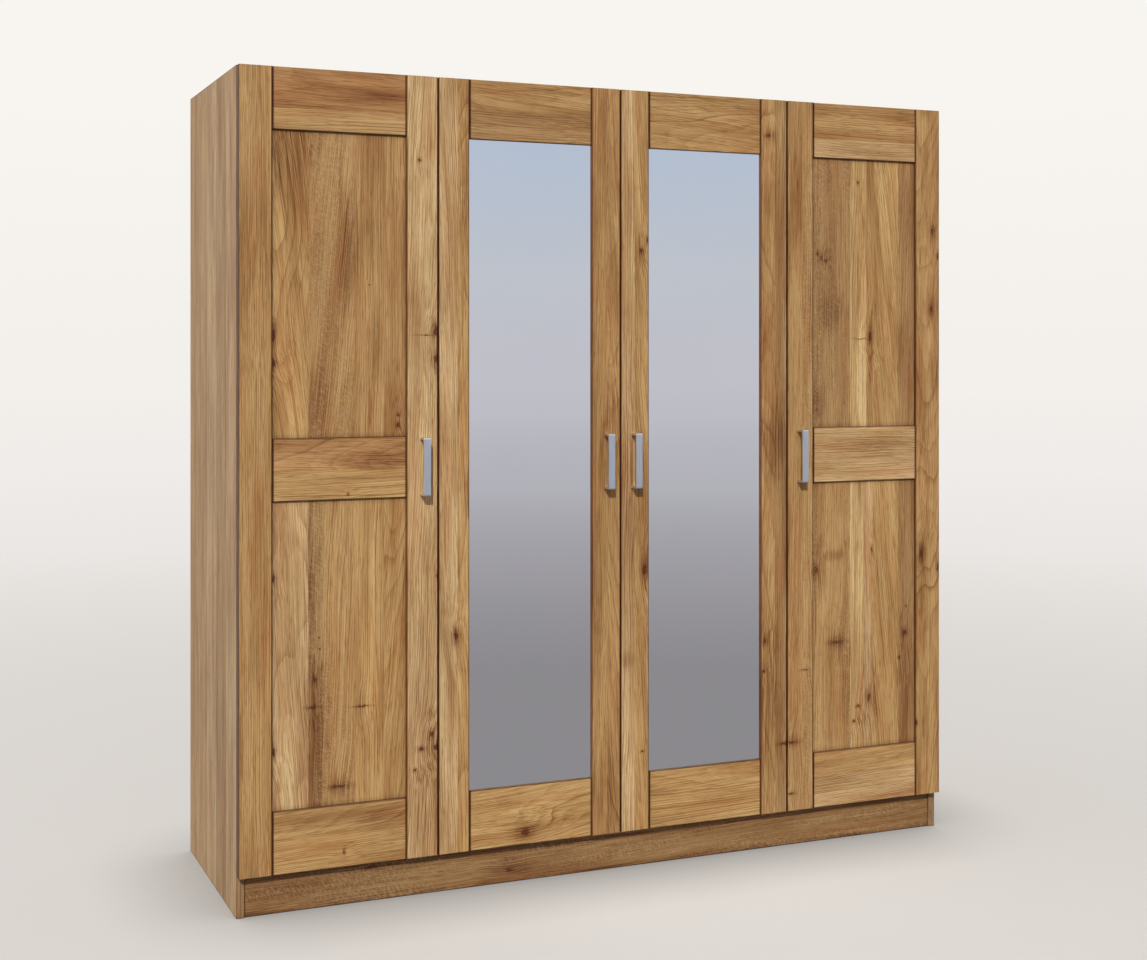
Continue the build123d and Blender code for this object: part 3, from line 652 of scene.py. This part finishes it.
    def with_joint_lines(self, colour):
        """Painted shade along the ends and the edges of the face in sight, where joints, gaps and recesses
        would lie in shadow.
        """
        face_low, face_high = shown_face(self.node)
        end_lines, edge_lines = joint_lines(self.node)
        for place, i, lines in ((self.u, self.along, end_lines), (self.v, self.across, edge_lines)):
            middle, half = (face_low[i] + face_high[i]) / 2, (face_high[i] - face_low[i]) / 2
            off = add(self.tree, "Math", {0: place, 1: middle}, operation="SUBTRACT")
            off = add(self.tree, "Math", {0: off}, operation="ABSOLUTE")
            from_rim = add(self.tree, "Math", {0: half, 1: off}, operation="SUBTRACT")
            for full, gone, strength, stain in lines:
                near = {
                    "Value": from_rim,
                    "From Min": full,
                    "From Max": gone,
                    "To Min": strength,
                    "To Max": 0.0,
                }
                near = add(self.tree, "MapRange", near, interpolation_type="SMOOTHSTEP")
                colour = {0: near, 6: colour, 7: stain}
                colour = add(self.tree, "Mix", colour, data_type="RGBA", blend_type="MULTIPLY")
        return colour


# Brush lines, drawing lines and fibres are finer in truth; they are drawn coarse enough to show
WIPE_MARK = 180 * MM
WIPE_HAZE = {"From Min": 0.35, "From Max": 0.75, "To Min": 0.0, "To Max": 0.02}
FIBRE = 2.5 * MM
FIBRE_GLAZE = {"From Min": 0.3, "From Max": 0.7, "To Min": 0.45, "To Max": 0.65}
FIBRE_RELIEF = {"Strength": 0.15, "Distance": 0.1 * MM}
LINE_RELIEF = {"Strength": 0.04, "Distance": 0.05 * MM}
LINE_ROUGHNESS = 0.06


def silvered_glass():
    """Silvered float glass, polished: a clear cool reflection, with the faintest wipe marks."""
    material, tree, shader = new_surface("silvered float glass, polished")
    place = add(tree, "TexCoord").outputs["Object"]
    wipe = add(tree, "TexNoise", {"Vector": place, "Scale": 1 / WIPE_MARK, "Detail": 2.0})
    silver = add(tree, "ValToRGB", {0: wipe}, [(0.3, "FCFCFD"), (0.7, "FAFBFC")])
    rough = add(tree, "MapRange", {"Value": wipe, **WIPE_HAZE})
    feed(tree, shader, {"Base Color": silver, "Roughness": rough, "Metallic": 1.0})
    return material


def lined_metal(name, pale, deep, roughness, line_width, line_length, along="Z"):
    """A metal whose brushed or drawn lines run along one axis and break up its highlights."""
    material, tree, shader = new_surface(name)
    place = add(tree, "TexCoord").outputs["Object"]
    scale = [1 / (line_length if axis == along else line_width) for axis in "XYZ"]
    spot = add(tree, "VectorMath", {0: place, 1: scale}, operation="MULTIPLY")
    lines = add(tree, "TexNoise", {"Vector": spot, "Scale": 1.0, "Detail": 3.0})
    metal = add(tree, "ValToRGB", {0: lines}, [(0.35, deep), (0.65, pale)])
    least, most = roughness - LINE_ROUGHNESS, roughness + LINE_ROUGHNESS
    rough = {"Value": lines, "From Min": 0.3, "From Max": 0.7, "To Min": least, "To Max": most}
    rough = add(tree, "MapRange", rough)
    bump = add(tree, "Bump", {"Height": lines, **LINE_RELIEF})
    feed(tree, shader, {"Base Color": metal, "Roughness": rough, "Normal": bump, "Metallic": 1.0})
    return material


def pressed_hardboard():
    """Brown hardboard, hot-pressed from wood fibre: a fine fleck and a faint glaze."""
    material, tree, shader = new_surface("brown hardboard, hot-pressed")
    place = add(tree, "TexCoord").outputs["Object"]
    fibre = {"Vector": place, "Scale": 1 / FIBRE, "Detail": 4.0, "Roughness": 0.7}
    fibre = add(tree, "TexNoise", fibre)
    board = add(tree, "ValToRGB", {0: fibre}, [(0.3, "6E4A2C"), (0.55, "8A6240"), (0.75, "A07850")])
    rough = add(tree, "MapRange", {"Value": fibre, **FIBRE_GLAZE})
    bump = add(tree, "Bump", {"Height": fibre, **FIBRE_RELIEF})
    feed(tree, shader, {"Base Color": board, "Roughness": rough, "Normal": bump})
    return material


# Nickel gives a soft bright sheen, plated steel a warmer one, chrome a near mirror, and zinc a dull grey
satin_nickel = lined_metal("satin nickel, brushed lengthwise", "E2E5EA", "CFD3DA", 0.34, 0.6 * MM, 40 * MM)
plated_steel = lined_metal("pressed steel, nickel-plated", "C9C8C4", "B2B1AE", 0.30, 2.0 * MM, 8 * MM)
chromed_tube = lined_metal("drawn steel tube, chromed", "DADBDD", "CDCFD2", 0.10, 0.8 * MM, 60 * MM, "X")
cast_zinc = lined_metal("die-cast zinc, plated", "B4B5B7", "A2A3A4", 0.38, 1.5 * MM, 2 * MM)
mirror_glass = silvered_glass()
hardboard = pressed_hardboard()

FITTING_FINISHES = {
    "_handle": satin_nickel,
    "_mirror": mirror_glass,
    "_backing": hardboard,
    "_hinge_cups": plated_steel,
    "_hinge_links": plated_steel,
    "hinge_arms": plated_steel,
    "hinge_plates": plated_steel,
    "clothes_rails": chromed_tube,
    "rail_sockets": cast_zinc,
}
for seed, (name, piece) in enumerate(sorted(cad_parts.items())):
    finish = next((f for ending, f in FITTING_FINISHES.items() if name.endswith(ending)), None)
    piece.data.materials.clear()
    piece.data.materials.append(finish or OakBoard(name, seed).surface())

# Screws: pan heads with a cross recess, on the handles, the hinge plates and arms, and the back panels.
# The shape is in shares of a head's radius and rise, and each row round a head is (radius, rise).
HEAD_SIDES = 20
HEAD_ROWS = ((1.0, 0.0), (1.0, 0.45), (0.94, 0.75), (0.80, 0.95), (0.62, 1.0))
CROSS_REACH = 0.46
CROSS_HALF = 0.11
CROSS_DEPTH = 0.6


def cross_outline():
    """The corners of a cross recess, in four quarter turns."""
    quarter = [(CROSS_REACH, -CROSS_HALF), (CROSS_REACH, CROSS_HALF), (CROSS_HALF, CROSS_HALF)]
    outline = []
    for i in range(4):
        c, s = cos(i * pi / 2), sin(i * pi / 2)
        outline += [(x * c - y * s, x * s + y * c) for x, y in quarter]
    return outline


def screw_head(shape, place, facing, radius, rise):
    """Add one screw head to a mesh, standing on a face that looks along facing."""
    turn = Vector(facing).to_track_quat("Z", "Y").to_matrix().to_4x4()
    stand = Matrix.Translation(place) @ turn @ Matrix.Diagonal((radius, radius, rise, 1.0))
    angles = [2 * pi * i / HEAD_SIDES for i in range(HEAD_SIDES)]
    rows = []
    for share, level in HEAD_ROWS:
        points = [Vector((share * cos(angle), share * sin(angle), level)) for angle in angles]
        rows.append([shape.verts.new(stand @ point) for point in points])
    for lower, upper in zip(rows, rows[1:]):
        for i in range(HEAD_SIDES):
            j = (i + 1) % HEAD_SIDES
            shape.faces.new((lower[i], lower[j], upper[j], upper[i]))
    shape.faces.new(reversed(rows[0]))
    outline = cross_outline()
    lip = [shape.verts.new(stand @ Vector((x, y, 1.0))) for x, y in outline]
    pit = [shape.verts.new(stand @ Vector((x, y, 1.0 - CROSS_DEPTH))) for x, y in outline]
    rim_edges = [shape.edges.get((a, b)) for a, b in zip(rows[-1], rows[-1][1:] + rows[-1][:1])]
    lip_edges = [shape.edges.new((a, b)) for a, b in zip(lip, lip[1:] + lip[:1])]
    bmesh.ops.triangle_fill(shape, edges=rim_edges + lip_edges, use_beauty=True)
    for i in range(len(lip)):
        j = (i + 1) % len(lip)
        shape.faces.new((lip[i], lip[j], pit[j], pit[i]))
    shape.faces.new(pit)


def screws(name, body, heads):
    """One piece of screw heads that ride on a body."""
    shape = bmesh.new()
    for head in heads:
        screw_head(shape, *head)
    bmesh.ops.recalc_face_normals(shape, faces=shape.faces)
    mesh = bpy.data.meshes.new(name)
    shape.to_mesh(mesh)
    shape.free()
    mesh.materials.append(plated_steel)
    piece = bpy.data.objects.new(name, mesh)
    bpy.context.scene.collection.objects.link(piece)
    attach(piece, body)


# Handle and hinge screws. A screw is (radius, rise). A door's hinges sit on a board's inward face, along X.
HANDLE_LEG = 5.5 * MM
HANDLE_SCREW = (4.0 * MM, 1.8 * MM)
PLATE_SCREW = (3.4 * MM, 1.4 * MM)
PLATE_SCREW_OFFSET = 12.2 * MM
ARM_SCREW = (3.6 * MM, 1.2 * MM)
ARM_SCREW_FROM_REAR = 14 * MM
ARM_RISE = 9 * MM
PLATE_THICKNESS = 3 * MM
HINGE_BOARDS = {
    "left_door": ("left_side", 1),
    "left_mirror_door": ("left_divider", 1),
    "right_mirror_door": ("right_divider", -1),
    "right_door": ("right_side", -1),
}
plate_low, plate_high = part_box("hinge_plates")
plate_middle = (plate_low.y + plate_high.y) / 2
arm_screw_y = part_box("hinge_arms")[1].y - ARM_SCREW_FROM_REAR
hinge_heads = []
for door, (board, inward) in HINGE_BOARDS.items():
    grip_low, grip_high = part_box(f"{door}_handle")
    stile_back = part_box(f"{door}_free_stile")[1].y
    middle = (grip_low.x + grip_high.x) / 2
    levels = (grip_low.z + HANDLE_LEG / 2, grip_high.z - HANDLE_LEG / 2)
    heads = [(Vector((middle, stile_back, z)), (0, 1, 0), *HANDLE_SCREW) for z in levels]
    screws(f"{door}_handle_screws", door, heads)

    cup_low, cup_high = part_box(f"{door}_hinge_cups")
    cup_radius = (cup_high.x - cup_low.x) / 2
    board_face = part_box(board)[1 if inward > 0 else 0].x
    plate_face = board_face + inward * PLATE_THICKNESS
    arm_face = plate_face + inward * ARM_RISE
    for z in (cup_low.z + cup_radius, (cup_low.z + cup_high.z) / 2, cup_high.z - cup_radius):
        for offset in (-PLATE_SCREW_OFFSET, PLATE_SCREW_OFFSET):
            seat = Vector((plate_face, plate_middle, z + offset))
            hinge_heads.append((seat, (inward, 0, 0), *PLATE_SCREW))
        hinge_heads.append((Vector((arm_face, arm_screw_y, z)), (inward, 0, 0), *ARM_SCREW))
screws("hinge_screws", "carcass", hinge_heads)

# Small screws hold the back panels in their rebates, along every edge
BACK_SCREW = (2.6 * MM, 0.9 * MM)
BACK_SCREW_INSET = 5 * MM
BACK_ROWS = 7
BACK_COLUMNS = 4
back_heads = []
for panel in ("left_back", "middle_back", "right_back"):
    panel_low, panel_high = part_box(panel)
    low_x, high_x = panel_low.x + BACK_SCREW_INSET, panel_high.x - BACK_SCREW_INSET
    low_z, high_z = panel_low.z + 2 * BACK_SCREW_INSET, panel_high.z - 2 * BACK_SCREW_INSET
    places = []
    for i in range(BACK_ROWS):
        z = low_z + (high_z - low_z) * i / (BACK_ROWS - 1)
        places += [(low_x, z), (high_x, z)]
    for i in range(1, BACK_COLUMNS - 1):
        x = low_x + (high_x - low_x) * i / (BACK_COLUMNS - 1)
        places += [(x, low_z), (x, high_z)]
    back_heads += [(Vector((x, panel_high.y, z)), (0, 1, 0), *BACK_SCREW) for x, z in places]
screws("back_screws", "carcass", back_heads)

# Floor: its tones are by distance, as a share of its reach, and run out into the pale backdrop.
# It lies a hair below the wardrobe. Near by it is partly lit by the lamps, and close to the foot an ambient
# occlusion node paints shade into its colour.
FLOOR_REACH = 60.0
FLOOR_DROP = 0.5 * MM
FLOOR_TONES = [(0.0, "D9D5D0"), (0.05, "DDD9D5"), (0.12, "EBE7E4"), (0.25, "F0ECE9"), (0.8, "F3F0EC")]
MIRRORED_FLOOR_TONES = [(0.05, "8D8B8E"), (0.1, "9F9DA2"), (0.2, "B4B3BA"), (0.5, "BFBFC7"), (1.0, "C2C2CA")]
FLOOR_BOUNCE = {"Base Color": "ACA8A3", "Roughness": 0.9, "Specular IOR Level": 0.0}
FLOOR_LIT = {"From Min": 2.0, "From Max": 9.0, "To Min": 0.5, "To Max": 0.0}
FLOOR_BEHIND = {"From Min": -0.6, "From Max": 0.3}
CONTACT_REACH = 0.32
CONTACT_SHARE = 0.72


def floor_paint():
    """Matt floor paint, rolled: pale and without gloss. The mirrors show it greyer."""
    material, tree, bounce = new_surface("matt floor paint, rolled")
    spot = add(tree, "TexCoord").outputs["Object"]
    away = add(tree, "VectorMath", {0: spot}, operation="LENGTH")
    far = add(tree, "MapRange", {"Value": away, "From Min": 0.0, "From Max": FLOOR_REACH})
    seen = add(tree, "ValToRGB", {0: far}, FLOOR_TONES)
    mirrored = add(tree, "ValToRGB", {0: far}, MIRRORED_FLOOR_TONES)
    # Painted contact shade: ambient occlusion darkens the floor's colour near the foot, both where it is lit
    # and where it glows.
    painted_contact_shade = add(tree, "AmbientOcclusion", {"Color": seen, "Distance": CONTACT_REACH})
    near_foot = add(tree, "Mix", {0: CONTACT_SHARE, 6: seen, 7: painted_contact_shade}, data_type="RGBA")
    lit = add(tree, "BsdfDiffuse", {0: near_foot})
    glow = add(tree, "Emission", {0: near_foot})
    lit_share = add(tree, "MapRange", {"Value": away, **FLOOR_LIT})
    by_light = add(tree, "MixShader", {0: lit_share, 1: glow, 2: lit})
    depth = add(tree, "SeparateXYZ", {0: spot}).outputs["Y"]
    behind = add(tree, "MapRange", {"Value": depth, **FLOOR_BEHIND})
    reflected = add(tree, "Mix", {0: behind, 6: mirrored, 7: seen}, data_type="RGBA")
    shine = add(tree, "Emission", {0: reflected})
    feed(tree, bounce, FLOOR_BOUNCE)
    path = add(tree, "LightPath").outputs
    for_camera = add(tree, "MixShader", {0: path["Is Camera Ray"], 1: bounce, 2: by_light})
    for_gloss = add(tree, "MixShader", {0: path["Is Glossy Ray"], 1: for_camera, 2: shine})
    feed(tree, tree.nodes["Material Output"], {"Surface": for_gloss})
    return material


floor_mesh = bpy.data.meshes.new("floor")
floor_shape = bmesh.new()
bmesh.ops.create_grid(floor_shape, x_segments=1, y_segments=1, size=FLOOR_REACH)
floor_shape.to_mesh(floor_mesh)
floor_shape.free()
floor_mesh.materials.append(floor_paint())
floor = bpy.data.objects.new("floor", floor_mesh)
floor.location.z = -FLOOR_DROP
bpy.context.scene.collection.objects.link(floor)

# Backdrop and fill light: its tones are by height, pale behind the wardrobe and cooler in front of it
FILL = 0.38
BACKDROP_TONES = [(0.0, "F3F0EC"), (0.15, "F8F5F0")]
MIRRORED_BACKDROP_TONES = [(0.0, "C2C2CA"), (0.045, "C1C5CD"), (0.13, "B5C1D3"), (0.5, "F2F4F8")]
BACKDROP_BEHIND = {"From Min": -0.2, "From Max": 0.3}


def studio():
    """A plain fill light for the object, a pale backdrop for the camera and a cooler one for the mirrors."""
    world = bpy.data.worlds.new("studio")
    world.use_nodes = True
    tree = world.node_tree
    ray = add(tree, "SeparateXYZ", {0: add(tree, "TexCoord").outputs["Generated"]}).outputs
    backdrop = add(tree, "ValToRGB", {0: ray["Z"]}, BACKDROP_TONES)
    mirrored = add(tree, "ValToRGB", {0: ray["Z"]}, MIRRORED_BACKDROP_TONES)
    behind = add(tree, "MapRange", {"Value": ray["Y"], **BACKDROP_BEHIND})
    reflected = add(tree, "Mix", {0: behind, 6: mirrored, 7: backdrop}, data_type="RGBA")
    fill = add(tree, "Background", {"Color": "FFFFFF", "Strength": FILL})
    shown = add(tree, "Background", {"Color": backdrop})
    glossy = add(tree, "Background", {"Color": reflected})
    path = add(tree, "LightPath").outputs
    for_camera = add(tree, "MixShader", {0: path["Is Camera Ray"], 1: fill, 2: shown})
    for_gloss = add(tree, "MixShader", {0: path["Is Glossy Ray"], 1: for_camera, 2: glossy})
    feed(tree, tree.nodes["World Output"], {"Surface": for_gloss})
    return world


bpy.context.scene.world = studio()

# Key light: from the upper left in front
KEY_TRAVEL = Vector((0.51, 1.0, -0.82))
KEY_ENERGY = 3.1
KEY_ANGLE = 1.6
KEY_COLOUR = "FFFDFA"
key = bpy.data.lights.new("key", "SUN")
key.energy = KEY_ENERGY
key.angle = radians(KEY_ANGLE)
key.color = linear(KEY_COLOUR)[:3]
key_lamp = bpy.data.objects.new("key", key)
key_lamp.rotation_euler = KEY_TRAVEL.to_track_quat("-Z", "Y").to_euler()
bpy.context.scene.collection.objects.link(key_lamp)

# Side light: a soft panel high on the left that lifts the upper part of the side
SIDE_PLACE = (-3.2, 0.0, 3.4)
SIDE_TRAVEL = Vector((2.2, 0.0, -1.6))
SIDE_ENERGY = 10.0
SIDE_SIZE = 1.5
SIDE_COLOUR = "EEF3FF"
side_panel = bpy.data.lights.new("side panel", "AREA")
side_panel.energy = SIDE_ENERGY
side_panel.size = SIDE_SIZE
side_panel.color = linear(SIDE_COLOUR)[:3]
side_lamp = bpy.data.objects.new("side panel", side_panel)
side_lamp.location = SIDE_PLACE
side_lamp.rotation_euler = SIDE_TRAVEL.to_track_quat("-Z", "Y").to_euler()
bpy.context.scene.collection.objects.link(side_lamp)

# Camera: level, at the height of a standing viewer's chest, to the left of the wardrobe
CAMERA_PLACE = (-1.831, -4.1968, 1.3563)
CAMERA_TURN = -22.93
CAMERA_SENSOR = 36.0
CAMERA_LENS = 51.92
CAMERA_SHIFT = (0.01395, -0.1131)
camera_data = bpy.data.cameras.new("camera")
camera_data.sensor_width = CAMERA_SENSOR
camera_data.lens = CAMERA_LENS
camera_data.shift_x, camera_data.shift_y = CAMERA_SHIFT
camera = bpy.data.objects.new("camera", camera_data)
camera.location = CAMERA_PLACE
camera.rotation_euler = (radians(90.0), 0.0, radians(CAMERA_TURN))
bpy.context.scene.collection.objects.link(camera)
bpy.context.scene.camera = camera
bpy.context.scene.view_settings.view_transform = "Standard"
